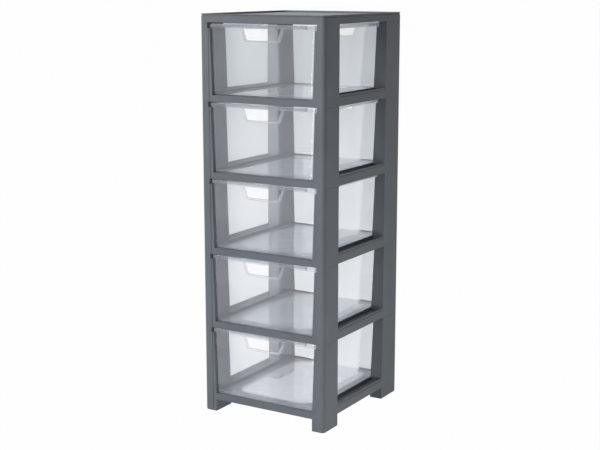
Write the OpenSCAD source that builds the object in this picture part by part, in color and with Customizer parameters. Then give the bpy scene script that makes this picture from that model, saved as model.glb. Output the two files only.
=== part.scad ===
// Five-drawer storage tower: one-piece tier frames stacked on each other, a shallow tray-top cover,
// and five clear pull-out drawers. Millimetres. The origin is on the floor at the centre of the
// footprint, +Z is up and the drawer fronts face -Y.

/* [Tower] */
// Overall width across the tier frames
tower_w = 320; // [280:1:400]
// Overall depth from the front posts to the back posts
tower_d = 350; // [300:1:420]
// Height that each tier adds to the stack
tier_pitch = 173; // [150:1:220]
// Height of the feet under the lowest rails
foot_h = 28; // [15:1:60]
// Height of the top cover
cover_h = 20; // [18:1:30]
// Radius of the four upright outer edges
corner_r = 9; // [6:0.5:14]

/* [Posts] */
// Wall thickness of the frames and the cover
frame_wall = 2.5; // [2:0.25:3.5]
// Width of a post, seen from the front, at the foot of its tier
post_w_foot = 31; // [24:0.1:34]
// Width of a post, seen from the front, just below the rim notch
post_w_head = 25.5; // [20:0.1:28]
// Gap between a drawer's rim and the side of the notch that it runs in
notch_gap = 3; // [1:0.1:6]
// Gap between a drawer's rim and the shoulder of the notch under it
shoulder_gap = 1; // [0.5:0.1:4]
// Depth of a front post, seen from the side
front_post_d = 61.5; // [40:0.5:80]
// Depth of a back post at the foot of its tier
back_post_d_foot = 76; // [50:1:90]
// Depth of a back post at its head
back_post_d_head = 73; // [50:1:90]
// Width of the plain front face of a front post, outside the set-back strip
post_face_w = 22; // [18:0.5:30]
// How far the strip beside the opening and the front rail are set back
face_step = 1; // [0.5:0.1:2]
// Gap all round a spigot in its socket
spigot_gap = 0.3; // [0.2:0.05:0.6]
// Gap over the top of a spigot in the cover's socket
spigot_top_gap = 1.5; // [0.5:0.1:4]
// Height of the shadow groove under each seam
seam_h = 1; // [0.5:0.1:2]
// Depth of the shadow groove under each seam
seam_d = 0.4; // [0.2:0.1:1.5]
// Height of the set-in band at the bottom of each foot
foot_band_h = 2; // [1:0.5:5]
// How far that band is set in
foot_band_d = 1; // [0.5:0.25:1.5]

/* [Rails] */
// Height of the front rail
front_rail_h = 14.5; // [10:0.5:20]
// Depth of the front rail from front to back
front_rail_d = 40; // [20:1:60]
// Height of the outer wall of a side rail
side_rail_h = 24; // [18:0.5:32]
// Height of the bead along the top of a side rail
bead_h = 3; // [2:0.25:5]
// Height of the groove under that bead
bead_groove_h = 2.5; // [1:0.25:4]
// Depth of the groove under that bead
bead_groove_d = 1.2; // [0.5:0.1:2]
// Size of the slope that breaks the bead's top edge
bead_chamfer = 1; // [0.5:0.1:1.5]
// Height of the top of the drawer runners over the top of the front rail
ledge_rise = 0.6; // [0.3:0.1:3]
// Thickness of the drawer runner
ledge_t = 2.5; // [2:0.25:5]
// Width of each runner, from the post's inner face to the open middle
runner_w = 29; // [20:0.1:60]
// Depth of the tails that the runners turn in with at the back
tail_d = 30; // [20:1:60]
// Width of each tail, from the post's inner face
tail_w = 63; // [40:0.1:90]
// Radius of the turn from a runner into its tail
ledge_turn_r = 35; // [10:1:50]
// How far a guide wall stands in from the post's inner face
guide_stand = 0.8; // [0.5:0.1:3]
// Gap between the drawer's side and its guide wall
guide_gap = 1; // [0.6:0.1:4]
// Thickness of the guide wall beside the drawer
guide_t = 2.5; // [2:0.25:4]
// Height of the top of the guide wall
guide_top = 23; // [18:0.5:30]
// Height of the stop lip on the runner tails
stop_h = 3.4; // [2:0.1:6]
// Thickness of the stop lip
stop_t = 3; // [2:0.25:5]
// Gap between a closed drawer and its stop lip
stop_gap = 0.5; // [0.3:0.1:2]

/* [Cover] */
// Thickness of the lip that caps the cover's edge
cap_lip_h = 2.6; // [1.5:0.1:4]
// Height of the shadow groove under the cap lip
cap_groove_h = 2.6; // [1:0.1:4]
// Depth of the shadow groove under the cap lip
cap_groove_d = 1.4; // [0.5:0.1:2]
// Width of the raised edge round the tray top
tray_edge_w = 4.5; // [3.5:0.5:12]
// Depth of the tray top
tray_depth = 4; // [2:0.5:6]
// Height of the gap that the fascia leaves over the top drawer
fascia_gap = 1; // [0.5:0.1:3]
// Number of ribs under the tray from side to side
cover_ribs = 4; // [2:1:8]
// Thickness of the ribs and the socket walls under the tray
rib_t = 2.2; // [1.5:0.1:3]
// Depth of the ribs under the tray
rib_h = 6; // [4:0.5:10]

/* [Drawers] */
// How far a closed drawer's face is set back from the posts
face_set_back = 4; // [4:0.25:10]
// Gap between the drawer's side and the head of a post, just under the rim
side_gap = 1.2; // [0.8:0.1:8]
// Gap between the back of the drawer's rim and the back of the tower
back_gap = 7; // [2:0.5:20]
// How far the drawer's back wall leans back from its bottom to its top
back_rake = 4; // [2:0.5:15]
// Wall thickness of a drawer
drawer_wall = 2; // [1.6:0.1:3]
// Radius of the drawer's upright corners
drawer_corner_r = 6; // [4:0.5:20]
// Gap between the drawer's bottom and the runners
glide_gap = 0.4; // [0.3:0.05:1]
// Extra height of the drawer face's lower edge over the drawer bottom
face_lift = 2; // [0:0.25:4]
// Gap between the drawer's rim and the rail above it
rim_gap = 2; // [1:0.1:4]
// Height of the rim band
rim_h = 8.5; // [6:0.5:12]
// How far the rim stands out from the body
rim_out = 4; // [3:0.25:5]
// Thickness of the rim
rim_t = 2; // [1.5:0.1:3]
// Distance from the drawer's side to the end of the box-section bar behind the front rim
grip_bar_end = 24; // [15:0.5:60]
// Depth of that bar from front to back
grip_bar_d = 9; // [6:0.5:14]
// Height that the middle of the drawer floor is raised
floor_rise = 4; // [2:0.5:6]
// Width of the flat border of the floor along each side
floor_border_side = 28; // [15:1:45]
// Depth of the flat border of the floor at the front
floor_border_front = 34; // [15:1:60]
// Depth of the flat border of the floor at the back
floor_border_back = 60; // [15:1:90]
// Corner radius of the raised middle of the floor
floor_panel_r = 34; // [10:1:50]
// Radius of the round cove between the walls and the floor
cove_r = 7; // [3:0.5:12]

/* [Handles] */
// Width of the hand hole at its top
hole_w_top = 99; // [80:1:130]
// Width of the hand hole at its bottom
hole_w_bottom = 81; // [60:1:110]
// Height of the hand hole
hole_h = 24.5; // [20:0.5:40]
// Distance from the top of the hand hole to the rim band above it
hole_drop = 0.6; // [0.5:0.1:8]
// Width of the lip round the hand hole
lip_w = 4.6; // [2:0.2:8]
// How far the lip stands out in front of the wall
lip_out = 2; // [1:0.25:2.5]
// How far the lip stands in behind the wall
lip_in = 5; // [1:0.25:10]

/* [Look] */
// Roundness of the cylinders and arcs
$fn = 48; // [24:4:96]
// Roundness of the drawer body's upright corners
body_facets = 32; // [16:4:48]
// Colour of the frames and the cover
frame_colour = [0.34, 0.35, 0.37];
// Colour of the clear drawers
drawer_colour = [0.82, 0.86, 0.88, 0.45];

/* [Hidden] */
tier_count = 5;
half_w = tower_w / 2;
front_y = -tower_d / 2;
overlap = 0.5;
inner_x_foot = half_w - post_w_foot;
inner_x_head = half_w - post_w_head;
guide_x = inner_x_foot - guide_stand;
body_w_foot = 2 * (guide_x - guide_gap);
body_w_head = 2 * (inner_x_head - side_gap);
body_back_head = tower_d - back_gap - rim_out;
body_back_foot = body_back_head - back_rake;
grip_bar_w = body_w_head - 2 * grip_bar_end;
window_d_foot = tower_d - front_post_d - back_post_d_foot;
ledge_top = front_rail_h + ledge_rise;
ledge_gap_w = 2 * (inner_x_foot - runner_w);
ledge_turn = tower_d - tail_d;
tail_gap_w = 2 * (inner_x_foot - tail_w);
drawer_z = ledge_top + glide_gap;
drawer_top = tier_pitch - rim_gap;
rim_z = drawer_top - rim_h;
hole_top = rim_z - hole_drop;
notch_x = body_w_head / 2 + rim_out + notch_gap;
notch_z = rim_z - shoulder_gap;
stop_y = front_y + body_back_foot + stop_gap;
panel_z = cover_h - tray_depth;
spigot_inset = frame_wall + spigot_gap;
spigot_h = panel_z - frame_wall - spigot_top_gap;

// Height of the bottom of a tier's rails over the floor, counting tiers from the bottom.
function tier_z(tier) = foot_h + (tier - 1) * tier_pitch;

// ---------- shared shapes ----------

// A rectangle with round corners, centred on the origin.
module rounded_rect(width, depth, radius) {
    square([width - 2 * radius, depth], center = true);
    square([width, depth - 2 * radius], center = true);
    for (side = [-1, 1], end = [-1, 1])
        translate([side * (width / 2 - radius), end * (depth / 2 - radius)])
            circle(r = radius);
}

// The tower's footprint, set in by a distance, as a prism from one height to another.
module footprint(inset, z_low, z_high) {
    translate([0, 0, z_low])
        linear_extrude(height = z_high - z_low)
            rounded_rect(tower_w - 2 * inset, tower_d - 2 * inset, corner_r - inset);
}

// Everything between two footprints, used to cut grooves round the outside.
module outer_ring(depth, z_low, z_high) {
    difference() {
        translate([-half_w - overlap, front_y - overlap, z_low])
            cube([tower_w + 2 * overlap, tower_d + 2 * overlap, z_high - z_low]);
        footprint(depth, z_low - overlap, z_high + overlap);
    }
}

// Repeats a shape that is drawn on the right-hand side on both sides.
module both_sides() {
    children();
    mirror([1, 0, 0]) children();
}

// A profile drawn in X and Z, carried from one distance behind the front to another.
module along_y(y_low, y_high) {
    translate([0, front_y + y_high, 0])
        rotate([90, 0, 0])
            linear_extrude(height = y_high - y_low)
                children();
}

// A profile drawn in Y (from the front) and Z, carried along X.
module along_x(x_low, x_high) {
    translate([x_low, front_y, 0])
        rotate([90, 0, 90])
            linear_extrude(height = x_high - x_low)
                children();
}

// ---------- tier frame ----------

// Outline of a right-hand post from the front: it narrows upwards and has the rim notch at its head.
module post_front_outline(inset, z_foot, z_head) {
    polygon([
        [inner_x_foot + inset, z_foot],
        [half_w, z_foot],
        [half_w, z_head],
        [notch_x + inset, z_head],
        [notch_x + inset, notch_z - inset],
        [inner_x_head + inset, notch_z - inset],
        [inner_x_foot + inset, 0]
    ]);
}

// A post's outer shape: front profile, depth range and the rounded footprint together.
module post_body(inset, z_foot, z_head, y_low, y_high) {
    intersection() {
        along_y(y_low, y_high) post_front_outline(inset, z_foot, z_head);
        footprint(inset, z_foot, z_head);
    }
}

// The slope on the front of a back post, which is deeper at its foot than at its head.
module back_post_slope(inset, z_foot, z_head) {
    along_x(0, tower_w)
        polygon([
            [tower_d - back_post_d_foot + inset, z_foot],
            [tower_d + overlap, z_foot],
            [tower_d + overlap, z_head],
            [tower_d - back_post_d_head + inset, z_head],
            [tower_d - back_post_d_foot + inset, 0]
        ]);
}

// The right-hand posts: their outsides, or with the wall as inset, the hollows inside them.
module posts(inset, z_foot, z_head) {
    back_y = tower_d - back_post_d_foot;
    post_body(inset, z_foot, z_head, 0, front_post_d - inset);
    intersection() {
        post_body(inset, z_foot, z_head, back_y, tower_d);
        back_post_slope(inset, z_foot, z_head);
    }
}

// Spigots on the heads of the right-hand posts, which plug into the posts above.
module spigots() {
    spigot_x = notch_x + spigot_inset;
    back_low = tower_d - back_post_d_head + spigot_inset;
    intersection() {
        footprint(spigot_inset, tier_pitch - frame_wall, tier_pitch + spigot_h);
        union() {
            translate([spigot_x, front_y, 0])
                cube([post_w_head, front_post_d - spigot_inset, tier_pitch + spigot_h]);
            translate([spigot_x, front_y + back_low, 0])
                cube([post_w_head, back_post_d_head, tier_pitch + spigot_h]);
        }
    }
}

// Profile of the right-hand side rail: outer wall with its bead, runner and guide wall.
module side_rail_profile() {
    groove_top = side_rail_h - bead_h;
    groove_low = groove_top - bead_groove_h;
    polygon([
        [half_w - frame_wall, 0],
        [half_w, 0],
        [half_w, groove_low],
        [half_w - bead_groove_d, groove_low],
        [half_w - bead_groove_d, groove_top],
        [half_w, groove_top],
        [half_w, side_rail_h - bead_chamfer],
        [half_w - bead_chamfer, side_rail_h],
        [half_w - frame_wall, side_rail_h]
    ]);
}

// Plan of the runners: a plate with the middle cut out, and two tails turning in at the back.
module runner_plan() {
    middle_y = (front_rail_d + ledge_turn) / 2;
    difference() {
        translate([-half_w + frame_wall / 2, front_y + frame_wall / 2])
            square([tower_w - frame_wall, tower_d - frame_wall]);
        translate([0, front_y + middle_y])
            rounded_rect(ledge_gap_w, ledge_turn - front_rail_d, ledge_turn_r);
        translate([-tail_gap_w / 2, front_y + ledge_turn - ledge_turn_r])
            square([tail_gap_w, tower_d]);
    }
}

// The runners with their guide walls and stop lips.
module runners() {
    intersection() {
        translate([0, 0, ledge_top - ledge_t])
            linear_extrude(height = ledge_t)
                runner_plan();
        footprint(frame_wall / 2, 0, tier_pitch);
    }
    both_sides() {
        translate([guide_x, front_y + frame_wall, ledge_top - ledge_t])
            cube([guide_t, tower_d - 2 * frame_wall, guide_top - ledge_top + ledge_t]);
        translate([tail_gap_w / 2, stop_y, ledge_top - overlap])
            cube([guide_x - tail_gap_w / 2 + overlap, stop_t, stop_h + overlap]);
    }
}

// The front rail, a channel open underneath and at the back.
module front_rail() {
    translate([-inner_x_foot - overlap, front_y, 0])
        cube([2 * inner_x_foot + 2 * overlap, frame_wall + face_step, front_rail_h]);
}

// The set-back face between the front posts, cut out of everything behind it.
module face_set_back_cut(z_foot) {
    translate([-half_w + post_face_w, front_y - overlap, z_foot - overlap])
        cube([tower_w - 2 * post_face_w, face_step + overlap, tier_pitch - z_foot + 2 * overlap]);
}

// The pocket that lowers the runner plate to the front rail's height under the drawer face.
module face_pocket() {
    translate([-inner_x_foot, front_y - overlap, front_rail_h])
        cube([2 * inner_x_foot, face_set_back + drawer_wall + face_lift + overlap, notch_z]);
}

// One tier frame with its rails' lower edges at height 0; drop carries its posts down as feet.
module tier_frame(drop) {
    difference() {
        union() {
            both_sides() {
                posts(0, -drop, tier_pitch);
                spigots();
                along_y(front_post_d - overlap, tower_d - back_post_d_head)
                    side_rail_profile();
            }
            front_rail();
            runners();
        }
        both_sides() posts(frame_wall, -drop - overlap, tier_pitch - frame_wall);
        face_set_back_cut(-drop);
        face_pocket();
        outer_ring(seam_d, tier_pitch - seam_h, tier_pitch);
        if (drop > 0)
            outer_ring(foot_band_d, -drop - overlap, foot_band_h - drop);
    }
}

module placed_tier(tier) {
    color(frame_colour)
        translate([0, 0, tier_z(tier)])
            tier_frame(tier == 1 ? foot_h : 0);
}

module base_frame() {
    placed_tier(1);
}

module tier_frame_2() {
    placed_tier(2);
}

module tier_frame_3() {
    placed_tier(3);
}

module tier_frame_4() {
    placed_tier(4);
}

module tier_frame_5() {
    placed_tier(5);
}

// ---------- top cover ----------

// Sockets under the right-hand side of the cover that take the top frame's spigots.
module cover_sockets() {
    socket_x = notch_x + spigot_inset - spigot_gap - rib_t;
    back_low = tower_d - back_post_d_head + frame_wall - rib_t;
    front_high = front_post_d - frame_wall + rib_t;
    difference() {
        union() {
            translate([socket_x, front_y + frame_wall / 2, 0])
                cube([half_w - socket_x - frame_wall / 2, front_high - frame_wall / 2, panel_z - overlap]);
            translate([socket_x, front_y + back_low, 0])
                cube([half_w - socket_x - frame_wall / 2, tower_d - back_low - frame_wall / 2, panel_z - overlap]);
        }
        translate([socket_x + rib_t, front_y, -overlap])
            cube([half_w, front_high - rib_t, spigot_h + spigot_gap + overlap]);
        translate([socket_x + rib_t, front_y + back_low + rib_t, -overlap])
            cube([half_w, tower_d, spigot_h + spigot_gap + overlap]);
    }
}

// The cover with its lower edge at height 0.
module cover_shell() {
    groove_top = cover_h - cap_lip_h;
    difference() {
        footprint(0, 0, cover_h);
        footprint(frame_wall, -overlap, panel_z - frame_wall);
        translate([0, 0, panel_z])
            linear_extrude(height = cover_h)
                rounded_rect(tower_w - 2 * tray_edge_w, tower_d - 2 * tray_edge_w, corner_r);
        outer_ring(cap_groove_d, groove_top - cap_groove_h, groove_top);
        translate([-notch_x, front_y - overlap, -overlap])
            cube([2 * notch_x, tower_d + 2 * overlap, fascia_gap + overlap]);
        translate([-half_w - overlap, front_y + front_post_d, -overlap])
            cube([tower_w + 2 * overlap, window_d_foot, fascia_gap + overlap]);
    }
}

// Ribs that stiffen the tray from below.
module cover_rib_set() {
    rib_pitch = (tower_d - 2 * frame_wall) / (cover_ribs + 1);
    rib_span = 2 * (notch_x - spigot_gap - rib_t);
    for (index = [1:cover_ribs])
        translate([-rib_span / 2, front_y + frame_wall + index * rib_pitch, panel_z - frame_wall - rib_h])
            cube([rib_span, rib_t, rib_h + overlap]);
}

module top_cover() {
    color(frame_colour)
        translate([0, 0, tier_z(tier_count + 1)]) {
            cover_shell();
            cover_rib_set();
            intersection() {
                footprint(frame_wall / 2, 0, panel_z);
                both_sides() cover_sockets();
            }
        }
}

// ---------- drawer ----------

// A thin slice of the drawer body, wall thickness taken off all round.
module body_slice(width, back, inset, z) {
    depth = back - face_set_back;
    radius = drawer_corner_r - inset;
    translate([0, front_y + face_set_back + depth / 2, z])
        linear_extrude(height = drawer_wall)
            rounded_rect(width - 2 * inset, depth - 2 * inset, radius, $fn = body_facets);
}

// The tapered block that bounds the drawer, set in by a distance.
module body_block(inset, z_low, z_high) {
    hull() {
        body_slice(body_w_foot, body_back_foot, inset, z_low);
        body_slice(body_w_head, body_back_head, inset, z_high - drawer_wall);
    }
}

// Wide coves along the two sides and the back, inside the bottom of the drawer.
module floor_coves() {
    floor_top = drawer_z + drawer_wall;
    side_x = body_w_foot / 2 - drawer_wall;
    back_y = body_back_foot - drawer_wall;
    both_sides()
        along_y(face_set_back + drawer_wall, back_y)
            difference() {
                translate([side_x - cove_r, floor_top - overlap])
                    square([cove_r + overlap, cove_r + overlap]);
                translate([side_x - cove_r, floor_top + cove_r])
                    circle(r = cove_r);
            }
    along_x(-side_x, side_x)
        difference() {
            translate([back_y - cove_r, floor_top - overlap])
                square([cove_r + overlap, cove_r + overlap]);
            translate([back_y - cove_r, floor_top + cove_r])
                circle(r = cove_r);
        }
}

// Plan of the raised middle of the floor, set in by a distance.
module floor_panel_plan(inset) {
    width = body_w_foot - 2 * floor_border_side;
    low = face_set_back + floor_border_front;
    high = body_back_foot - floor_border_back;
    translate([0, front_y + (low + high) / 2])
        rounded_rect(width - 2 * inset, high - low - 2 * inset, floor_panel_r - inset);
}

// The raised middle of the floor: a shallow upside-down tray.
module floor_panel() {
    translate([0, 0, drawer_z])
        linear_extrude(height = drawer_wall + floor_rise)
            floor_panel_plan(0);
}

module floor_panel_hollow() {
    translate([0, 0, drawer_z - overlap])
        linear_extrude(height = floor_rise + overlap)
            floor_panel_plan(drawer_wall);
}

// The rim: a flat flange round the top with a skirt hanging from its outer edge.
module rim() {
    width = body_w_head + 2 * rim_out;
    low = face_set_back - rim_t;
    high = body_back_head + rim_out;
    translate([0, front_y + (low + high) / 2, rim_z])
        difference() {
            linear_extrude(height = rim_h)
                rounded_rect(width, high - low, drawer_corner_r + rim_out / 2);
            translate([0, 0, -overlap])
                linear_extrude(height = rim_h - rim_t + overlap)
                    rounded_rect(width - 2 * rim_t, high - low - 2 * rim_t, drawer_corner_r);
        }
}

// Clears the drawer's inside out of the rim's flange.
module rim_hollow() {
    width = body_w_head - 2 * drawer_wall;
    depth = body_back_head - face_set_back - 2 * drawer_wall;
    translate([0, front_y + face_set_back + drawer_wall + depth / 2, rim_z - overlap])
        linear_extrude(height = rim_h + 2 * overlap)
            rounded_rect(width, depth, drawer_corner_r - drawer_wall);
}

// The box-section bar behind the middle of the front rim, open underneath.
module grip_bar() {
    translate([-grip_bar_w / 2, front_y + face_set_back, rim_z])
        difference() {
            cube([grip_bar_w, grip_bar_d + drawer_wall, rim_h]);
            translate([drawer_wall, drawer_wall, -overlap])
                cube([grip_bar_w - 2 * drawer_wall, grip_bar_d - drawer_wall, rim_h - rim_t + overlap]);
        }
}

// Outline of the hand hole in X and Z, grown by a distance.
module hole_outline(grow) {
    polygon([
        [-hole_w_bottom / 2 - grow, hole_top - hole_h - grow],
        [hole_w_bottom / 2 + grow, hole_top - hole_h - grow],
        [hole_w_top / 2 + grow, hole_top],
        [-hole_w_top / 2 - grow, hole_top]
    ]);
}

// The lip round a hand hole, from one distance behind the front to another.
module hole_lip(y_low, y_high) {
    along_y(y_low, y_high) hole_outline(lip_w);
}

module hole_cut(y_low, y_high) {
    along_y(y_low, y_high) hole_outline(0);
}

// One drawer, closed, with its tier's rails starting at height 0.
module drawer() {
    front_wall = face_set_back;
    back_wall = body_back_head - drawer_wall;
    difference() {
        union() {
            difference() {
                union() {
                    body_block(0, drawer_z, drawer_top);
                    rim();
                }
                difference() {
                    body_block(drawer_wall, drawer_z + drawer_wall, drawer_top + overlap);
                    floor_coves();
                    floor_panel();
                }
                rim_hollow();
                floor_panel_hollow();
            }
            grip_bar();
            hole_lip(front_wall - lip_out, front_wall + lip_in);
            hole_lip(back_wall - lip_in, back_wall + lip_out);
        }
        hole_cut(-overlap, front_wall + lip_in + overlap);
        hole_cut(back_wall - lip_in - overlap, tower_d + overlap);
        face_lift_cut();
    }
}

// Lifts the lower edge of the face, which leaves the dark gap over the front rail.
module face_lift_cut() {
    translate([-half_w, front_y + face_set_back - overlap, drawer_z - overlap])
        rotate([90, 0, 90])
            linear_extrude(height = tower_w)
                polygon([
                    [0, 0],
                    [face_lift + overlap, 0],
                    [0, face_lift + overlap]
                ]);
}

module placed_drawer(tier) {
    color(drawer_colour)
        translate([0, 0, tier_z(tier)])
            drawer();
}

module drawer_1() {
    placed_drawer(1);
}

module drawer_2() {
    placed_drawer(2);
}

module drawer_3() {
    placed_drawer(3);
}

module drawer_4() {
    placed_drawer(4);
}

module drawer_5() {
    placed_drawer(5);
}

base_frame();
tier_frame_2();
tier_frame_3();
tier_frame_4();
tier_frame_5();
top_cover();
drawer_1();
drawer_2();
drawer_3();
drawer_4();
drawer_5();
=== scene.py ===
"""Five-drawer storage tower.

Grey moulded tier frames stand on each other under a tray-top cover, and five clear drawers slide
out of them. The floor is z = 0 and the drawer fronts face -Y. The sizes of the moulded pieces and
of the camera are millimetres. Meshes, finishes, lamps and the studio are in metres.
"""
import logging
import math
from collections.abc import Sequence
from dataclasses import dataclass
from enum import Enum

import bmesh
import bpy
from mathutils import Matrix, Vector


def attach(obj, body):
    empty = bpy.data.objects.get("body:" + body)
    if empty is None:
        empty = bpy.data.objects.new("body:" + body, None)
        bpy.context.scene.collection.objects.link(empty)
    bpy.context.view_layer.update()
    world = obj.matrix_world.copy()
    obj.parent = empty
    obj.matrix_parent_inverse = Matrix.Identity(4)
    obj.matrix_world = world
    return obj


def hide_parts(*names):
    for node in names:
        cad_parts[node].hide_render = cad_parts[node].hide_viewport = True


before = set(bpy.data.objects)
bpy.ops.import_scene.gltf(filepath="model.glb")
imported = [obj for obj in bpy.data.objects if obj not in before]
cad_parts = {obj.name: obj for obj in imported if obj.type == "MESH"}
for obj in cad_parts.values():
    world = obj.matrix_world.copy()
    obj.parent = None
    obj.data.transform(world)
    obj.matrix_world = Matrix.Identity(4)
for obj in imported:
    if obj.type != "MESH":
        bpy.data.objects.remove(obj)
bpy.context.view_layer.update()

log = logging.getLogger("drawer_tower")

MM = 0.001
TIERS = 5
TIER_PITCH = 173.0
FOOT_HEIGHT = 28.0
FRONT_Y = -175.0

# Where most of a noise texture's values lie.
NOISE_RANGE = (0.3, 0.7)
# Fall-off of a mirror reflection from grazing to head-on.
MIRROR_POWER = 5.0
# Segments in each corner of a lofted outline.
CORNER_STEPS = 10
# Points closer than this are one point, in metres.
SAME_POINT = 1e-7
# How strongly large faces set the shading of their corners, of 100.
LARGE_FACE_WEIGHT = 80
# Clear faces that a ray passes before it ends.
CLEAR_FACES = 32

Colour = tuple[float, float, float]


class Slot(Enum):
    """Material slots of the part."""

    FRAME = "frame_plastic"
    CLEAR = "clear_plastic"


class Wall(Enum):
    """The two drawer walls that have a hand hole."""

    FRONT = "front"
    BACK = "back"


class Join(Enum):
    """How two closed meshes are combined."""

    ADD = "UNION"
    CUT = "DIFFERENCE"


# ---------- node trees ----------


class Wiring:
    """Adds nodes to a tree, sets their inputs and links them."""

    def __init__(self, tree: bpy.types.NodeTree) -> None:
        """Start from an empty tree.

        Args:
            tree: The shader or geometry tree to fill.
        """
        self.tree = tree
        tree.nodes.clear()

    def add(self, kind: str, inputs: dict | None = None, **settings) -> bpy.types.Node:
        """Add one node.

        Args:
            kind: Blender's name for the node type.
            inputs: Values, or output sockets to link, by input name or index.
            settings: Properties of the node itself.

        Returns:
            The new node.
        """
        node = self.tree.nodes.new(kind)
        node.location.x = 180 * len(self.tree.nodes)
        for name, value in settings.items():
            setattr(node, name, value)
        for key, value in (inputs or {}).items():
            socket = node.inputs[key]
            if isinstance(value, bpy.types.NodeSocket):
                self.tree.links.new(value, socket)
            else:
                socket.default_value = value
        return node

    def maths(self, operation: str, *values, clamp: bool = False) -> bpy.types.NodeSocket:
        """Add a Math node and return its result.

        Args:
            operation: The Math node's operation.
            values: Numbers or sockets, in order.
            clamp: Whether the result is held between 0 and 1.

        Returns:
            The node's output socket.
        """
        inputs = dict(enumerate(values))
        return self.add("ShaderNodeMath", inputs, operation=operation, use_clamp=clamp).outputs[0]

    def noise(self, where: bpy.types.NodeSocket, scale: float, detail: float) -> bpy.types.NodeSocket:
        """Add a Noise texture and return its value.

        Args:
            where: The coordinate that it reads.
            scale: Cells per metre.
            detail: Octaves of finer noise.

        Returns:
            The noise value, from 0 to 1 around 0.5.
        """
        inputs = {"Vector": where, "Scale": scale, "Detail": detail}
        return self.add("ShaderNodeTexNoise", inputs).outputs[0]

    def band(self, value: bpy.types.NodeSocket, *ends: float) -> bpy.types.NodeSocket:
        """Map a value from one range to another.

        Args:
            value: The value to map.
            ends: From low, from high, to low and to high.

        Returns:
            The mapped value, held within the second range.
        """
        inputs = {0: value, 1: ends[0], 2: ends[1], 3: ends[2], 4: ends[3]}
        return self.add("ShaderNodeMapRange", inputs).outputs[0]

    def blend(self, factor: bpy.types.NodeSocket, low: Colour, high: Colour) -> bpy.types.NodeSocket:
        """Mix two colours by a factor.

        Args:
            factor: 0 gives the first colour and 1 the second.
            low: The first colour.
            high: The second colour.

        Returns:
            The mixed colour.
        """
        inputs = {0: factor, 6: (*low, 1.0), 7: (*high, 1.0)}
        return self.add("ShaderNodeMix", inputs, data_type="RGBA").outputs[2]


def new_material(name: str) -> tuple[bpy.types.Material, Wiring]:
    """Make an empty node material.

    Args:
        name: The material's name.

    Returns:
        The material and the wiring of its tree.
    """
    material = bpy.data.materials.new(name)
    material.use_nodes = True
    return material, Wiring(material.node_tree)


# ---------- finishes ----------


@dataclass(frozen=True)
class MouldedGrey:
    """Satin grey polypropylene with a fine spark-eroded grain, as the frames and cover have."""

    shade: Colour = (0.160, 0.178, 0.197)
    shade_spread: float = 0.07
    dust: Colour = (0.40, 0.41, 0.42)
    dust_amount: float = 0.05
    roughness: float = 0.40
    roughness_spread: float = 0.06
    sheen_level: float = 0.15
    grain_per_metre: float = 1500.0
    grain_height: float = 0.00005
    grain_strength: float = 0.6
    flow_per_metre: float = 9.0
    rub_per_metre: float = 36.0
    dust_slope: float = 0.6

    def build(self, name: str) -> bpy.types.Material:
        """Build the finish.

        Args:
            name: The material's name.

        Returns:
            The finished material.
        """
        material, nodes = new_material(name)
        place = nodes.add("ShaderNodeTexCoord").outputs["Object"]
        grain = nodes.noise(place, self.grain_per_metre, 2.0)
        flow = nodes.noise(place, self.flow_per_metre, 3.0)
        light = tuple(c * (1 + self.shade_spread) for c in self.shade)
        dark = tuple(c * (1 - self.shade_spread) for c in self.shade)
        body = nodes.blend(nodes.band(flow, *NOISE_RANGE, 0.0, 1.0), dark, light)
        normal = nodes.add("ShaderNodeNewGeometry").outputs["Normal"]
        up = nodes.add("ShaderNodeSeparateXYZ", {0: normal}).outputs["Z"]
        settled = nodes.maths("MULTIPLY", nodes.band(up, self.dust_slope, 1.0, 0.0, 1.0), grain)
        amount = nodes.maths("MULTIPLY", settled, self.dust_amount)
        colour = nodes.add(
            "ShaderNodeMix", {0: amount, 6: body, 7: (*self.dust, 1.0)}, data_type="RGBA"
        ).outputs[2]
        low = self.roughness - self.roughness_spread
        high = self.roughness + self.roughness_spread
        rough = nodes.band(nodes.noise(place, self.rub_per_metre, 4.0), *NOISE_RANGE, low, high)
        bump = nodes.add(
            "ShaderNodeBump",
            {"Height": grain, "Distance": self.grain_height, "Strength": self.grain_strength},
        ).outputs[0]
        shader = nodes.add(
            "ShaderNodeBsdfPrincipled",
            {
                "Base Color": colour,
                "Roughness": rough,
                "Specular IOR Level": self.sheen_level,
                "Normal": bump,
            },
        )
        nodes.add("ShaderNodeOutputMaterial", {0: shader.outputs[0]})
        return material


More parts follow.
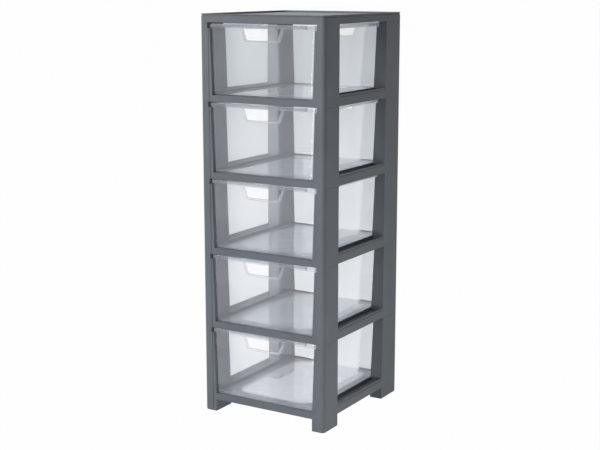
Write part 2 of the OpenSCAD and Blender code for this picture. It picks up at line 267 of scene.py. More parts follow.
@dataclass(frozen=True)
class ClearResin:
    """Clear glossy moulding resin: mostly see-through, with a milky haze and clean reflections.

    The haze sends on light from both sides of the wall, and grows with the length of the way
    through the resin.
    """

    clear: Colour = (0.982, 0.990, 0.995)
    haze: Colour = (0.91, 0.92, 0.97)
    haze_low: float = 0.066
    haze_high: float = 0.084
    haze_through: float = 0.9
    haze_roughness: float = 0.5
    longest_way: float = 7.0
    gloss_roughness: float = 0.05
    mirror: float = 0.04
    flow_per_metre: float = 14.0
    ripple_per_metre: float = 42.0
    ripple_height: float = 0.0004
    ripple_strength: float = 0.25

    def build(self, name: str) -> bpy.types.Material:
        """Build the finish.

        Args:
            name: The material's name.

        Returns:
            The finished material.
        """
        material, nodes = new_material(name)
        place = nodes.add("ShaderNodeTexCoord").outputs["Object"]
        flow = nodes.noise(place, self.flow_per_metre, 2.0)
        ripple = nodes.noise(place, self.ripple_per_metre, 1.0)
        bump = nodes.add(
            "ShaderNodeBump",
            {"Height": ripple, "Distance": self.ripple_height, "Strength": self.ripple_strength},
        ).outputs[0]
        facing = nodes.add("ShaderNodeLayerWeight", {"Blend": 0.5}).outputs["Facing"]
        grazing = nodes.maths("POWER", facing, MIRROR_POWER)
        mirror = nodes.maths("MULTIPLY_ADD", grazing, 1.0 - self.mirror, self.mirror)
        milky = nodes.band(flow, *NOISE_RANGE, self.haze_low, self.haze_high)
        straight = nodes.maths("SUBTRACT", 1.0, milky)
        cosine = nodes.maths("MAXIMUM", nodes.maths("SUBTRACT", 1.0, facing), 1.0 / self.longest_way)
        clear_share = nodes.maths("POWER", straight, nodes.maths("DIVIDE", 1.0, cosine))
        haze_share = nodes.maths("SUBTRACT", 1.0, clear_share, clamp=True)
        through = nodes.add("ShaderNodeBsdfTransparent", {0: (*self.clear, 1.0)}).outputs[0]
        near = nodes.add(
            "ShaderNodeBsdfPrincipled",
            {"Base Color": (*self.haze, 1.0), "Roughness": self.haze_roughness, "Normal": bump},
        ).outputs[0]
        far = nodes.add("ShaderNodeBsdfTranslucent", {"Color": (*self.haze, 1.0)}).outputs[0]
        haze = nodes.add("ShaderNodeMixShader", {0: self.haze_through, 1: near, 2: far}).outputs[0]
        body = nodes.add("ShaderNodeMixShader", {0: haze_share, 1: through, 2: haze}).outputs[0]
        gloss = nodes.add(
            "ShaderNodeBsdfAnisotropic",
            {"Color": (1.0, 1.0, 1.0, 1.0), "Roughness": self.gloss_roughness, "Normal": bump},
        ).outputs[0]
        surface = nodes.add("ShaderNodeMixShader", {0: mirror, 1: body, 2: gloss}).outputs[0]
        nodes.add("ShaderNodeOutputMaterial", {0: surface})
        return material


@dataclass(frozen=True)
class StudioPaper:
    """Matte white floor that is seen as white, with the tower's shadow kept, and painted shade on the far
    floor where it is seen through two or more clear walls.
    """

    shade: Colour = (0.45, 0.45, 0.45)
    whiteness: float = 0.985
    roughness: float = 0.6
    fibres_per_metre: float = 600.0
    fibre_shade: float = 0.97
    near: float = 1.0
    far: float = 9.0

    def build(self, name: str, behind: Colour) -> bpy.types.Material:
        """Build the finish.

        Args:
            name: The material's name.
            behind: Colour of the painted shade on the far floor behind two or more clear walls.

        Returns:
            The finished material.
        """
        material, nodes = new_material(name)
        place = nodes.add("ShaderNodeTexCoord").outputs["Object"]
        fibre = nodes.noise(place, self.fibres_per_metre, 4.0)
        dull = tuple(c * self.fibre_shade for c in self.shade)
        inputs = {"Color": nodes.blend(fibre, dull, self.shade), "Roughness": self.roughness}
        matte = nodes.add("ShaderNodeBsdfDiffuse", inputs).outputs[0]
        # Painted shade: the far floor turns grey, more so with distance, where it is seen through two or
        # more clear walls.
        away = nodes.add("ShaderNodeVectorMath", {0: place}, operation="LENGTH").outputs["Value"]
        far = nodes.band(away, self.near, self.far, 0.0, 1.0)
        painted_shade_share = nodes.maths("MULTIPLY", far, behind_clear_walls(nodes))
        tint = nodes.blend(painted_shade_share, (1.0, 1.0, 1.0), behind)
        white = nodes.add("ShaderNodeEmission", {"Color": tint, "Strength": 1.0})
        seen = nodes.maths("MULTIPLY", seen_directly(nodes), self.whiteness)
        inputs = {0: seen, 1: matte, 2: white.outputs[0]}
        surface = nodes.add("ShaderNodeMixShader", inputs).outputs[0]
        nodes.add("ShaderNodeOutputMaterial", {0: surface})
        return material


def seen_directly(nodes: Wiring) -> bpy.types.NodeSocket:
    """Tell rays that the camera, a reflection or a see-through wall sees from lighting rays.

    Args:
        nodes: The tree to add to.

    Returns:
        1 for a ray that is seen and 0 for one that only carries light.
    """
    path = nodes.add("ShaderNodeLightPath").outputs
    seen = nodes.maths("MAXIMUM", path["Is Camera Ray"], path["Is Glossy Ray"])
    return nodes.maths("MAXIMUM", seen, path["Is Transmission Ray"])


def behind_clear_walls(nodes: Wiring) -> bpy.types.NodeSocket:
    """Tell what is seen through two or more clear walls from what is seen through one or none.

    Args:
        nodes: The tree to add to.

    Returns:
        0 behind one wall, which has two faces, and 1 behind two or more.
    """
    faces = nodes.add("ShaderNodeLightPath").outputs["Transparent Depth"]
    return nodes.band(faces, 2.0, 4.0, 0.0, 1.0)


# ---------- meshes ----------


@dataclass(frozen=True)
class Level:
    """One level of a moulding: a rounded rectangle in plan, in millimetres.

    Attributes:
        half_width: Half of its width.
        front: Distance of its front edge behind the tower's front.
        back: Distance of its back edge behind the tower's front.
        radius: Radius of its corners.
        height: Height over the tier's rails.
    """

    half_width: float
    front: float
    back: float
    radius: float
    height: float

    def points(self, base: float, steps: int) -> list[Vector]:
        """Give the outline's points, anticlockwise from above, in metres.

        Args:
            base: Height of the tier's rails, in millimetres.
            steps: Segments in each corner.

        Returns:
            The same number of points for every level.
        """
        r = self.radius
        corners = (
            (self.half_width - r, self.back - r, 0.0),
            (r - self.half_width, self.back - r, 90.0),
            (r - self.half_width, self.front + r, 180.0),
            (self.half_width - r, self.front + r, 270.0),
        )
        found = []
        for x, y, start in corners:
            for step in range(steps + 1):
                turn = math.radians(start + 90.0 * step / steps)
                place = (x + r * math.cos(turn), FRONT_Y + y + r * math.sin(turn))
                found.append(Vector((place[0], place[1], base + self.height)) * MM)
        return found


def new_object(name: str, mesh: bpy.types.Mesh) -> bpy.types.Object:
    """Put a mesh in the scene as an object at the origin.

    Args:
        name: The object's name.
        mesh: Its mesh.

    Returns:
        The new object.
    """
    made = bpy.data.objects.new(name, mesh)
    bpy.context.scene.collection.objects.link(made)
    return made


def from_bmesh(name: str, build: bmesh.types.BMesh) -> bpy.types.Object:
    """Turn a bmesh into an object whose faces point outwards.

    Args:
        name: The object's name.
        build: The bmesh, which is freed.

    Returns:
        The new object.
    """
    bmesh.ops.remove_doubles(build, verts=build.verts, dist=SAME_POINT)
    bmesh.ops.recalc_face_normals(build, faces=build.faces)
    mesh = bpy.data.meshes.new(name)
    build.to_mesh(mesh)
    build.free()
    return new_object(name, mesh)


def loft(name: str, levels: Sequence[Level], base: float, hoop: bool = False) -> bpy.types.Object:
    """Join levels one after another into a closed mesh.

    Args:
        name: The object's name.
        levels: The levels, in order along the wall's surface.
        base: Height of the tier's rails, in millimetres.
        hoop: Whether the last level joins the first; otherwise both ends are capped.

    Returns:
        The lofted object.
    """
    build = bmesh.new()
    rings = [[build.verts.new(p) for p in level.points(base, CORNER_STEPS)] for level in levels]
    pairs = list(zip(rings, rings[1:] + rings[:1]))
    for low, high in pairs if hoop else pairs[:-1]:
        for i in range(len(low)):
            build.faces.new((low[i - 1], low[i], high[i], high[i - 1]))
    if not hoop:
        build.faces.new(rings[0])
        build.faces.new(rings[-1])
    return from_bmesh(name, build)


def prism(name: str, outline: Sequence[tuple[float, float]], base: float, *ends: float) -> bpy.types.Object:
    """Extrude an outline in X and Z from one depth to another.

    Args:
        name: The object's name.
        outline: X and height of each corner, in millimetres.
        base: Height of the tier's rails, in millimetres.
        ends: First and last distance behind the tower's front.

    Returns:
        The closed prism.
    """
    build = bmesh.new()
    caps = []
    for depth in ends:
        places = [Vector((x, FRONT_Y + depth, base + z)) * MM for x, z in outline]
        caps.append([build.verts.new(p) for p in places])
        build.faces.new(caps[-1])
    for i in range(len(outline)):
        build.faces.new((caps[0][i - 1], caps[0][i], caps[1][i], caps[1][i - 1]))
    return from_bmesh(name, build)


def evaluated_mesh(thing: bpy.types.Object) -> bpy.types.Mesh:
    """Make a plain mesh of an object as its modifiers leave it.

    Args:
        thing: The object.

    Returns:
        The new mesh.
    """
    graph = bpy.context.evaluated_depsgraph_get()
    return bpy.data.meshes.new_from_object(thing.evaluated_get(graph), depsgraph=graph)


def settle(thing: bpy.types.Object) -> None:
    """Replace an object's mesh with its evaluated mesh and drop its modifiers.

    Args:
        thing: The object to settle.
    """
    rough = thing.data
    thing.data = evaluated_mesh(thing)
    thing.modifiers.clear()
    bpy.data.meshes.remove(rough)


def painted(thing: bpy.types.Object, material: bpy.types.Material) -> bpy.types.Object:
    """Give every face of an object one finish.

    Args:
        thing: The object.
        material: Its finish.

    Returns:
        The same object.
    """
    thing.data.materials.clear()
    thing.data.materials.append(material)
    return thing


def combine(target: bpy.types.Object, other: bpy.types.Object, how: Join) -> None:
    """Add a closed mesh to another or cut it out, and remove it.

    Args:
        target: The object that is changed.
        other: The object that is used up.
        how: Whether to add or to cut.
    """
    tool = target.modifiers.new(how.name, "BOOLEAN")
    tool.solver = "EXACT"
    tool.operation = how.value
    tool.material_mode = "TRANSFER"
    tool.object = other
    settle(target)
    bpy.data.objects.remove(other)


def smooth(thing: bpy.types.Object, angle: float = 32.0) -> None:
    """Shade an object smooth, with crisp edges over an angle and flat faces kept flat.

    Args:
        thing: The object.
        angle: The angle, in degrees, from which an edge is crisp.
    """
    thing.data.shade_smooth()
    thing.data.set_sharp_from_angle(angle=math.radians(angle))
    even = thing.modifiers.new("Even shading", "WEIGHTED_NORMAL")
    even.keep_sharp = True
    even.weight = LARGE_FACE_WEIGHT


def quarter_round(radius: float, steps: int) -> list[tuple[float, float]]:
    """Give the points of a quarter round that leaves one line and ends on another.

    Args:
        radius: Its radius.
        steps: Segments in it.

    Returns:
        For each point, its distance from the line it ends on and from the line it leaves.
    """
    turns = [math.radians(90.0 * step / steps) for step in range(steps + 1)]
    return [(radius * (1 - math.sin(turn)), radius * (1 - math.cos(turn))) for turn in turns]


def rounded(corners: Sequence[tuple[float, float, float]], steps: int = 6) -> list[tuple[float, float]]:
    """Round the corners of an outline.

    Args:
        corners: X, height and radius of each corner, in order.
        steps: Segments in each rounded corner.

    Returns:
        The rounded outline.
    """
    found: list[tuple[float, float]] = []
    for i, (x, z, radius) in enumerate(corners):
        here = Vector((x, z))
        before = (Vector(corners[i - 1][:2]) - here).normalized()
        after = (Vector(corners[(i + 1) % len(corners)][:2]) - here).normalized()
        half = before.angle(after) / 2
        reach = radius / math.tan(half)
        start, end = here + before * reach, here + after * reach
        for step in range(steps + 1):
            t = step / steps
            found.append(tuple((1 - t) ** 2 * start + 2 * t * (1 - t) * here + t**2 * end))
    return found


# ---------- geometry node trees ----------


def geometry_tree(name: str, inputs: Sequence[tuple[str, str]]) -> tuple[Wiring, bpy.types.Node]:
    """Make a Geometry Nodes tree with named inputs.

    Args:
        name: The tree's name.
        inputs: Name and socket type of each input after the geometry.

    Returns:
        The wiring of the tree and its input node.
    """
    tree = bpy.data.node_groups.new(name, "GeometryNodeTree")
    tree.interface.new_socket("Geometry", in_out="INPUT", socket_type="NodeSocketGeometry")
    for label, kind in inputs:
        tree.interface.new_socket(label, in_out="INPUT", socket_type=kind)
    tree.interface.new_socket("Geometry", in_out="OUTPUT", socket_type="NodeSocketGeometry")
    wiring = Wiring(tree)
    return wiring, wiring.add("NodeGroupInput")


def finish_tree(
    nodes: Wiring, geometry: bpy.types.NodeSocket, material: bpy.types.Material
) -> bpy.types.NodeTree:
    """End a Geometry Nodes tree: realize its instances and set its material.

    Args:
        nodes: The tree's wiring.
        geometry: The geometry to give out.
        material: The finish of every face.

    Returns:
        The finished tree.
    """
    plain = nodes.add("GeometryNodeRealizeInstances", {0: geometry}).outputs[0]
    dressed = nodes.add("GeometryNodeSetMaterial", {0: plain, "Material": material}).outputs[0]
    nodes.add("NodeGroupOutput", {0: dressed})
    return nodes.tree


def run_tree(thing: bpy.types.Object, tree: bpy.types.NodeTree, values: dict[str, float]) -> None:
    """Run a Geometry Nodes tree on an object and keep the plain mesh.

    Args:
        thing: The object that the tree starts from.
        tree: The tree.
        values: Value of each named input.
    """
    sockets = {s.name: s.identifier for s in tree.interface.items_tree if s.in_out == "INPUT"}
    run = thing.modifiers.new(tree.name, "NODES")
    run.node_group = tree
    for name, value in values.items():
        run[sockets[name]] = value
    settle(thing)


def sweep_tree(material: bpy.types.Material) -> bpy.types.NodeTree:
    """Build the tree that sweeps a rounded bar along a line with filleted corners.

    Args:
        material: The finish of the bar.

    Returns:
        The tree, which starts from a mesh of edges.
    """
    size = "NodeSocketFloat"
    labels = ("Fillet", "Section Width", "Section Depth", "Section Round")
    nodes, given = geometry_tree("Swept lip", [(label, size) for label in labels])
    path = nodes.add("GeometryNodeMeshToCurve", {0: given.outputs["Geometry"]}).outputs[0]
    bend = nodes.add(
        "GeometryNodeFilletCurve",
        {"Curve": path, "Radius": given.outputs["Fillet"], "Count": 8, "Limit Radius": True},
        mode="POLY",
    ).outputs[0]
    upright = nodes.add(
        "GeometryNodeSetCurveNormal", {"Curve": bend, "Normal": (0.0, 1.0, 0.0)}, mode="FREE"
    ).outputs[0]
    section = nodes.add(
        "GeometryNodeCurvePrimitiveQuadrilateral",
        {"Width": given.outputs["Section Depth"], "Height": given.outputs["Section Width"]},
    ).outputs[0]
    soft = nodes.add(
        "GeometryNodeFilletCurve",
        {"Curve": section, "Radius": given.outputs["Section Round"], "Count": 3},
        mode="POLY",
    ).outputs[0]
    bar = nodes.add(
        "GeometryNodeCurveToMesh", {"Curve": upright, "Profile Curve": soft, "Fill Caps": True}
    ).outputs[0]
    return finish_tree(nodes, bar, material)


def gusset_tree(material: bpy.types.Material) -> bpy.types.NodeTree:
    """Build the tree that repeats a plate along a row, up the tiers and on both sides.

    Args:
        material: The finish of the plates.

    Returns:
        The tree, which starts from one right-hand plate.
    """
    whole, size = "NodeSocketInt", "NodeSocketFloat"
    inputs = [("Plates", whole), ("Spacing", size), ("Tiers", whole), ("Tier Pitch", size)]
    nodes, given = geometry_tree("Gusset rows", inputs)
    made = given.outputs["Geometry"]
    for count, step, axis in (("Plates", "Spacing", "Y"), ("Tiers", "Tier Pitch", "Z")):
        offset = nodes.add("ShaderNodeCombineXYZ", {axis: given.outputs[step]}).outputs[0]
        line = nodes.add("GeometryNodeMeshLine", {"Count": given.outputs[count], "Offset": offset})
        inputs = {"Points": line.outputs[0], "Instance": made}
        row = nodes.add("GeometryNodeInstanceOnPoints", inputs).outputs[0]
        made = nodes.add("GeometryNodeRealizeInstances", {0: row}).outputs[0]
    mirrored = nodes.add("GeometryNodeTransform", {0: made, "Scale": (-1.0, 1.0, 1.0)}).outputs[0]
    turned = nodes.add("GeometryNodeFlipFaces", {0: mirrored}).outputs[0]
    both = nodes.add("GeometryNodeJoinGeometry", {0: made})
    nodes.tree.links.new(turned, both.inputs[0])
    return finish_tree(nodes, both.outputs[0], material)


# ---------- the tower ----------


@dataclass
class FrameShell:
    """Rounds and finishes the moulded tier frames and the cover.

    Attributes:
        edge_round: Width of the round along moulded edges, in millimetres.
        round_steps: Segments across the round.
        crisp_angle: Angle from which an edge is rounded, in degrees.
        flat_angle: Angle up to which two facets are one face, in degrees.
        weld: Points closer than this are one point, in metres.
        cover: Name of the cover, whose edges get the full round.
    """

    edge_round: float = 0.38
    round_steps: int = 2
    crisp_angle: float = 35.0
    flat_angle: float = 0.6
    weld: float = 2e-6
    cover: str = "top_cover"

    def dress(self, node: bpy.types.Object, material: bpy.types.Material) -> None:
        """Round the edges of one moulding and give it its finish.

        The frames have a low step behind the front rail that two full rounds don't fit on, so
        their round is held back to what fits. The cover's keeps its width.

        Args:
            node: The moulding.
            material: Its finish.
        """
        weld = node.modifiers.new("Weld", "WELD")
        weld.merge_threshold = self.weld
        flats = node.modifiers.new("Flat faces", "DECIMATE")
        flats.decimate_type = "DISSOLVE"
        flats.angle_limit = math.radians(self.flat_angle)
        flats.delimit = set()
        edge = node.modifiers.new("Moulded edge", "BEVEL")
        edge.limit_method = "ANGLE"
        edge.angle_limit = math.radians(self.crisp_angle)
        edge.width = self.edge_round * MM
        edge.segments = self.round_steps
        edge.use_clamp_overlap = node.name != self.cover
        even = node.modifiers.new("Even shading", "WEIGHTED_NORMAL")
        even.keep_sharp = False
        even.weight = LARGE_FACE_WEIGHT
        for face in node.data.polygons:
            face.use_smooth = True
        node.data.materials.clear()
        node.data.materials.append(material)


@dataclass
class RunnerGussets:
    """Rows of small gussets that stiffen the runners against the side rails' outer walls."""

    inner_x: float = 104.0
    outer_x: float = 158.5
    top: float = 12.9
    shallow: float = 2.5
    deep: float = 9.5
    thickness: float = 1.6
    first: float = 72.0
    spacing: float = 38.0
    plates: int = 6

    def build(self, material: bpy.types.Material) -> bpy.types.Object:
        """Build every gusset of the tower as one mesh.

        Args:
            material: The frames' finish.

        Returns:
            The gussets.
        """
        outline = [
            (self.outer_x, self.top),
            (self.inner_x, self.top),
            (self.inner_x, self.top - self.shallow),
            (self.outer_x, self.top - self.deep),
        ]
        ends = (self.first, self.first + self.thickness)
        plate = prism("runner_gussets", outline, FOOT_HEIGHT, *ends)
        values = {
            "Plates": self.plates,
            "Spacing": self.spacing * MM,
            "Tiers": TIERS,
            "Tier Pitch": TIER_PITCH * MM,
        }
        run_tree(plate, gusset_tree(material), values)
        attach(plate, "tower")
        return plate


@dataclass(frozen=True)
class DrawerFinishes:
    """The finishes of a drawer's regions, by how thick the resin is there, and a strip of painted shade
    along the front's lower edge.
    """

    wall: bpy.types.Material
    floor: bpy.types.Material
    band: bpy.types.Material
    lip: bpy.types.Material
    # Darkened clear tint: painted shade of the gap between the front's lower edge and the rail.
    foot_edge: bpy.types.Material

    @classmethod
    def make(cls) -> "DrawerFinishes":
        """Build every finish of the drawers.

        Returns:
            The finishes.
        """
        # dark tints the strip of painted shade along the drawer front's lower edge.
        dim, dark = (0.85, 0.86, 0.88), (0.42, 0.44, 0.47)
        floor = ClearResin(haze_low=0.15, haze_high=0.19, haze_through=0.6)
        band = ClearResin(dim, haze_low=0.12, haze_high=0.14, haze_through=0.5)
        lip = ClearResin(haze_low=0.20, haze_high=0.24)
        # Painted shade: a darkened clear tint for the gap between the drawer front and the rail.
        foot_edge = ClearResin(dark, haze_low=0.02, haze_high=0.03)
        return cls(
            wall=ClearResin().build("clear_resin"),
            floor=floor.build("clear_resin_floor"),
            band=band.build("clear_resin_band"),
            lip=lip.build("clear_resin_lip"),
            foot_edge=foot_edge.build("clear_resin_foot_edge"),
        )


@dataclass
class ClearDrawer:
    """One clear drawer: tub with a raised floor, rim, grip bar and two lipped hand holes.

    The heights of its bottom, its rim and its holes' tops are over the tier's rails. Its fronts
    and backs are distances behind the tower's front.
    """

    tier: int
    foot_half: float = 127.2
    head_half: float = 133.3
    face: float = 4.0
    back_foot: float = 335.0
    back_head: float = 339.0
    bottom: float = 15.5
    wall: float = 2.0
    corner: float = 5.0
    least_corner: float = 2.0
    foot_round: float = 3.0
    cove: float = 7.0
    front_cove_share: float = 0.5
    wall_drop_outside: float = 1.4
    wall_drop_inside: float = 1.7
    wall_gain_at_top: float = 0.02
    panel_half: float = 99.2
    panel_front: float = 38.0
    panel_back: float = 275.0
    panel_corner: float = 34.0
    panel_rise: float = 1.2
    panel_slope: float = 24.0
    rim_half: float = 137.3
    rim_front: float = 2.0
    rim_back: float = 343.0
    rim_corner: float = 7.0
    rim_low: float = 162.5
    rim_high: float = 171.0
    bar_half: float = 109.3
    bar_back: float = 15.0
    hole_top: float = 161.9
    hole_height: float = 24.5
    hole_half_top: float = 49.5
    hole_half_bottom: float = 40.5
    hole_corner: float = 6.0
    lip_width: float = 4.6
    lip_out: float = 2.0
    lip_in: float = 5.0
    lip_round: float = 1.2
    lip_into_rim: float = 1.2
    hole_top_corner: float = 1.2
    front_cut: tuple[float, float] = (0.0, 12.0)
    back_cut: tuple[float, float] = (330.0, 350.0)
    floor_margin: float = 1.0
    # Height and depth of the strip of painted gap shade along the front's lower edge.
    foot_edge_height: float = 2.3
    foot_edge_depth: float = 1.2

    @property
    def base(self) -> float:
        """Height of this tier's rails over the floor, in millimetres."""
        return FOOT_HEIGHT + (self.tier - 1) * TIER_PITCH

    def at(self, height: float, inset: float = 0.0, front_inset: float | None = None) -> Level:
        """Give the outline of the drawer's body at a height.

        Args:
            height: Height over the tier's rails.
            inset: How far it is set in at the sides and the back.
            front_inset: How far it is set in at the front, if that differs.

        Returns:
            The level.
        """
        low, high = self.bottom + self.wall, self.rim_high - self.wall
        t = min(max((height - low) / (high - low), 0.0), 1.0)
        half = self.foot_half + t * (self.head_half - self.foot_half)
        back = self.back_foot + t * (self.back_head - self.back_foot)
        ahead = inset if front_inset is None else front_inset
        radius = max(self.corner - inset, self.least_corner)
        return Level(half - inset, self.face + ahead, back - inset, radius, height)

    def panel(self, inset: float, height: float) -> Level:
        """Give the outline of the raised middle of the floor.

        Args:
            inset: How far it is set in.
            height: Height over the tier's rails.

        Returns:
            The level.
        """
        return Level(
            self.panel_half - inset,
            self.panel_front + inset,
            self.panel_back - inset,
            self.panel_corner - inset,
            height,
        )

    def swell(self, height: float) -> list[Level]:
        """Give the soft slope round the raised middle of the floor.

        Args:
            height: Height of the floor's border over the tier's rails.

        Returns:
            The levels, from the border inwards and up.
        """
        found = []
        steps = 6
        for step in range(steps + 1):
            t = step / steps
            lift = self.panel_rise * (1 - math.cos(math.pi * t)) / 2
            found.append(self.panel(self.panel_slope * (t - 0.5), height + lift))
        return found

    def tub(self) -> bpy.types.Object:
        """Loft the walls and the floor with its raised middle.

        Returns:
            The closed tub.
        """
        floor, wall = self.bottom + self.wall, self.wall
        levels = self.swell(self.bottom)[::-1]
        for inset, lift in quarter_round(self.foot_round, 4):
            levels.append(self.at(self.bottom + lift, inset))
        levels.append(self.at(self.rim_high - self.wall_drop_outside))
        levels.append(self.at(self.rim_high - self.wall_drop_inside, wall + self.wall_gain_at_top))
        for lift, inset in quarter_round(self.cove, 6):
            ahead = wall + self.front_cove_share * inset
            levels.append(self.at(floor + lift, wall + inset, ahead))
        levels += self.swell(floor)
        return loft(f"clear_drawer_{self.tier}", levels, self.base)

    def rim(self) -> bpy.types.Object:
        """Loft the flange and the skirt that hangs from its outer edge.

        Returns:
            The closed hoop.
        """
        high, low = self.rim_high, self.rim_low

        def ring(inset: float, ahead: float, height: float) -> Level:
            """Give one level of the hoop.

            Args:
                inset: How far it is set in at the sides and the back.
                ahead: How far it is set in at the front.
                height: Height over the tier's rails.

            Returns:
                The level.
            """
            radius = self.rim_corner - inset * 2 / 3
            front, back = self.rim_front + ahead, self.rim_back - inset
            return Level(self.rim_half - inset, front, back, radius, height)

        levels = [
            ring(0.0, 0.0, low + 0.8),
            ring(0.25, 0.25, low + 0.25),
            ring(0.8, 0.8, low),
            ring(1.2, 2.4, low),
            ring(1.75, 2.8, low + 0.25),
            ring(2.0, 3.0, low + 0.8),
            ring(2.0, 3.0, high - 2.5),
            ring(2.5, 3.2, high - 2.0),
            ring(6.0, 4.0, high - 2.0),
            ring(6.0, 4.0, high - 0.8),
            ring(5.75, 3.75, high - 0.25),
            ring(5.2, 3.2, high),
            ring(0.9, 0.9, high),
            ring(0.28, 0.28, high - 0.28),
            ring(0.0, 0.0, high - 0.9),
        ]
        return loft("rim", levels, self.base, hoop=True)

    def grip_bar(self) -> bpy.types.Object:
        """Loft the box-section bar behind the middle of the front rim, open underneath.

        Returns:
            The closed bar.
        """
        high, low = self.rim_high - 0.4, self.rim_low

        def ring(inset: float, height: float) -> Level:
            """Give one level of the bar.

            Args:
                inset: How far it is set in from the bar's outer face.
                height: Height over the tier's rails.

            Returns:
                The level.
            """
            front = self.face + 1.0 + 0.25 * inset
            corner = max(2.5 - inset, 0.4)
            return Level(self.bar_half - inset, front, self.bar_back - inset, corner, height)

        levels = [ring(0.8, high), ring(0.24, high - 0.24), ring(0.0, high - 0.8)]
        levels += [ring(0.0, low + 0.6), ring(0.2, low + 0.2), ring(0.6, low)]
        levels += [ring(1.4, low), ring(1.8, low + 0.2), ring(2.0, low + 0.6)]
        levels += [ring(2.0, high - 2.2), ring(2.3, high - 1.6)]
        return loft("grip_bar", levels, self.base)

    def lip(self, wall: Wall, tree: bpy.types.NodeTree) -> bpy.types.Object:
        """Sweep the lip round the sides and the bottom of a hand hole.

        Args:
            wall: Which wall's hole.
            tree: The sweeping tree.

        Returns:
            The closed lip.
        """
        out = self.lip_width / 2
        depth = self.lip_out + self.lip_in
        middle = self.face - self.lip_out + depth / 2
        if wall is Wall.BACK:
            middle = self.back_head - self.wall - self.lip_in + depth / 2
        top, low = self.rim_low + self.lip_into_rim, self.hole_top - self.hole_height - out
        wide, narrow = self.hole_half_top + out, self.hole_half_bottom + out
        build = bmesh.new()
        corners = [(-wide, top), (-narrow, low), (narrow, low), (wide, top)]
        places = [Vector((x, FRONT_Y + middle, self.base + z)) * MM for x, z in corners]
        line = [build.verts.new(p) for p in places]
        for start, end in zip(line, line[1:]):
            build.edges.new((start, end))
        mesh = bpy.data.meshes.new("lip")
        build.to_mesh(mesh)
        build.free()
        lip = new_object(f"lip_{wall.value}", mesh)
        values = {
            "Fillet": (self.hole_corner + out) * MM,
            "Section Width": self.lip_width * MM,
            "Section Depth": depth * MM,
            "Section Round": self.lip_round * MM,
        }
        run_tree(lip, tree, values)
        return lip

    def hole(self, wall: Wall) -> bpy.types.Object:
        """Make the block that cuts a hand hole.

        Args:
            wall: Which wall's hole.

        Returns:
            The closed block.
        """
        low = self.hole_top - self.hole_height
        outline = rounded([
            (-self.hole_half_bottom, low, self.hole_corner),
            (self.hole_half_bottom, low, self.hole_corner),
            (self.hole_half_top, self.hole_top, self.hole_top_corner),
            (-self.hole_half_top, self.hole_top, self.hole_top_corner),
        ])
        ends = self.front_cut if wall is Wall.FRONT else self.back_cut
        return prism("hole", outline, self.base, *ends)

    def build(self, finishes: DrawerFinishes, tree: bpy.types.NodeTree) -> bpy.types.Object:
        """Build the whole drawer as one moulding and put it on its slide.

        Args:
            finishes: The finishes of its regions.
            tree: The sweeping tree for the lips.

        Returns:
            The drawer.
        """
        drawer = painted(self.tub(), finishes.wall)
        for finish in (finishes.floor, finishes.foot_edge):
            drawer.data.materials.append(finish)
        in_floor, in_foot_edge = 1, 2
        floor_top = (self.base + self.bottom + self.wall + self.panel_rise + self.floor_margin) * MM
        gap_shade_top = (self.base + self.bottom + self.foot_edge_height) * MM
        gap_shade_back = (FRONT_Y + self.face + self.foot_edge_depth) * MM
        for face in drawer.data.polygons:
            if face.center.z < floor_top:
                face.material_index = in_floor
            # Faces along the front's lower edge get painted shade, a darkened clear tint for the gap above
            # the rail.
            if face.center.z < gap_shade_top and face.center.y < gap_shade_back:
                face.material_index = in_foot_edge
        for part in (self.rim(), self.grip_bar()):
            combine(drawer, painted(part, finishes.band), Join.ADD)
        for side in Wall:
            combine(drawer, self.lip(side, tree), Join.ADD)
        for side in Wall:
            combine(drawer, painted(self.hole(side), finishes.wall), Join.CUT)
        smooth(drawer)
        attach(drawer, f"pull_out_{self.tier}")
        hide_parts(f"drawer_{self.tier}")
        return drawer


# ---------- studio ----------


class LampUse(Enum):
    """What a lamp is for."""

    ALL = "light and reflections"
    FILL = "light alone"
    GLINT = "reflections alone"


@dataclass(frozen=True)
class Lamp:
    """One rectangular soft lamp, in metres and watts."""

    name: str
    place: tuple[float, float, float]
    size: tuple[float, float]
    power: float
    use: LampUse = LampUse.ALL
    aim_height: float = 0.45


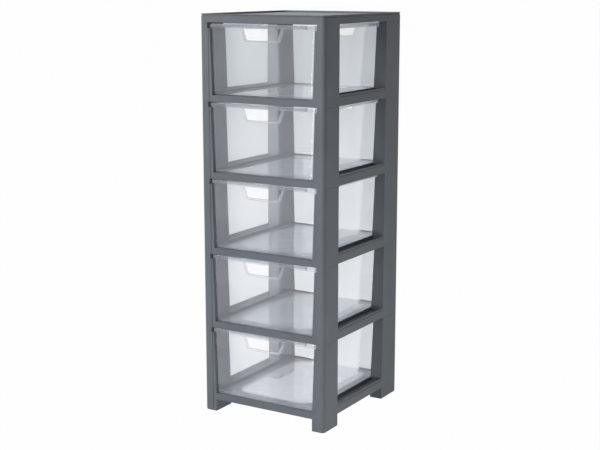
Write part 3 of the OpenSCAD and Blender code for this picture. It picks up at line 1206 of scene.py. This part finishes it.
@dataclass
class Studio:
    """Plain white floor, pale backdrop and soft lamps."""

    floor_half: float = 80.0
    floor_drop: float = 0.0005
    ambient: float = 0.19
    ambient_blue: float = 1.02
    # Painted shade: grey of the backdrop and far floor where they are seen through two or more clear walls.
    backdrop_painted_shade: Colour = (0.66, 0.68, 0.70)
    lamps: tuple[Lamp, ...] = (
        Lamp("key", (-1.85, -2.75, 2.2), (2.2, 2.2), 107.0),
        Lamp("fill", (1.9, -2.7, 0.7), (1.2, 1.4), 4.0),
        Lamp("low", (0.95, -0.5, 0.06), (0.5, 0.1), 3.0, LampUse.FILL, 0.05),
        Lamp("low_front", (-0.3, -1.2, 0.06), (0.6, 0.1), 0.5, LampUse.FILL, 0.05),
        Lamp("glint", (-0.5, -3.0, 0.4), (0.3, 0.7), 10.0, LampUse.GLINT, 0.7),
    )

    def floor(self) -> bpy.types.Object:
        """Lay the floor under the tower.

        Returns:
            The floor.
        """
        build = bmesh.new()
        bmesh.ops.create_grid(build, x_segments=8, y_segments=8, size=self.floor_half)
        floor = from_bmesh("studio_floor", build)
        for vertex in floor.data.vertices:
            vertex.co.z = -self.floor_drop
        floor.data.materials.append(StudioPaper().build("studio_paper", self.backdrop_painted_shade))
        return floor

    def surroundings(self) -> None:
        """Fill the world: soft light all round, and a white backdrop where it is seen, with painted shade
        where it is seen through two or more clear walls.
        """
        world = bpy.data.worlds.new("studio")
        world.use_nodes = True
        bpy.context.scene.world = world
        nodes = Wiring(world.node_tree)
        shade = self.ambient
        soft = (shade, shade, shade * self.ambient_blue, 1.0)
        dim = nodes.add("ShaderNodeBackground", {0: soft, 1: 1.0})
        # Painted shade: the backdrop is grey where it is seen through two or more clear walls.
        colour = nodes.blend(behind_clear_walls(nodes), (1.0, 1.0, 1.0), self.backdrop_painted_shade)
        white = nodes.add("ShaderNodeBackground", {0: colour, 1: 1.0})
        inputs = {0: seen_directly(nodes), 1: dim.outputs[0], 2: white.outputs[0]}
        mixed = nodes.add("ShaderNodeMixShader", inputs)
        nodes.add("ShaderNodeOutputWorld", {0: mixed.outputs[0]})

    def lamp(self, lamp: Lamp) -> None:
        """Hang one soft lamp that points at the tower.

        Args:
            lamp: The lamp.
        """
        light = bpy.data.lights.new(lamp.name, "AREA")
        light.shape = "RECTANGLE"
        light.size, light.size_y = lamp.size
        light.energy = lamp.power
        hung = bpy.data.objects.new(lamp.name, light)
        bpy.context.scene.collection.objects.link(hung)
        hung.location = lamp.place
        aim = Vector((0.0, 0.0, lamp.aim_height)) - Vector(lamp.place)
        hung.rotation_euler = aim.to_track_quat("-Z", "Y").to_euler()
        hung.visible_camera = False
        hung.visible_glossy = lamp.use is not LampUse.FILL
        hung.visible_diffuse = lamp.use is not LampUse.GLINT

    def build(self) -> None:
        """Set up the floor, the surroundings and the lamps."""
        self.floor()
        self.surroundings()
        for lamp in self.lamps:
            self.lamp(lamp)


@dataclass
class Viewpoint:
    """Camera in front of the tower's right-hand corner."""

    place: Sequence[float] = (1471.7, -2432.5, 985.5)
    turn: float = 31.276
    dip: float = 11.148
    focal_pixels: float = 1244.1
    centre: tuple[float, float] = (300.65, 225.0)
    frame_width: float = 600.0
    frame_height: float = 450.0
    sensor_width: float = 36.0
    sight_metres: float = 100.0

    def build(self) -> bpy.types.Object:
        """Place the camera and make it the scene's camera.

        Returns:
            The camera.
        """
        data = bpy.data.cameras.new("camera")
        camera = bpy.data.objects.new("camera", data)
        scene = bpy.context.scene
        scene.collection.objects.link(camera)
        camera.location = Vector(self.place) * MM
        turn, dip = math.radians(self.turn), math.radians(self.dip)
        ahead = Vector((-math.sin(turn) * math.cos(dip), math.cos(turn) * math.cos(dip), -math.sin(dip)))
        camera.rotation_euler = ahead.to_track_quat("-Z", "Y").to_euler()
        data.sensor_fit = "HORIZONTAL"
        data.sensor_width = self.sensor_width
        data.lens = self.focal_pixels / self.frame_width * data.sensor_width
        data.shift_x = (self.frame_width / 2 - self.centre[0]) / self.frame_width
        data.shift_y = (self.centre[1] - self.frame_height / 2) / self.frame_width
        data.clip_end = self.sight_metres
        scene.camera = camera
        return camera


def main() -> None:
    """Build the dressed tower, the studio and the camera, and report each piece."""
    logging.basicConfig(level=logging.INFO, format="%(name)s: %(message)s")
    grey = MouldedGrey().build("moulded_grey")
    finishes = DrawerFinishes.make()
    shell = FrameShell()
    for name, node in sorted(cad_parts.items()):
        if not name.startswith("drawer"):
            shell.dress(node, grey)
            log.info("dressed %s", name)
    gussets = RunnerGussets().build(grey)
    log.info("built %s: %d faces", gussets.name, len(gussets.data.polygons))
    tree = sweep_tree(finishes.lip)
    for tier in range(1, TIERS + 1):
        drawer = ClearDrawer(tier).build(finishes, tree)
        log.info("built %s: %d faces", drawer.name, len(drawer.data.polygons))
    Studio().build()
    Viewpoint().build()
    scene = bpy.context.scene
    scene.view_settings.view_transform = "Standard"
    scene.cycles.transparent_max_bounces = CLEAR_FACES


if __name__ == "__main__":
    main()
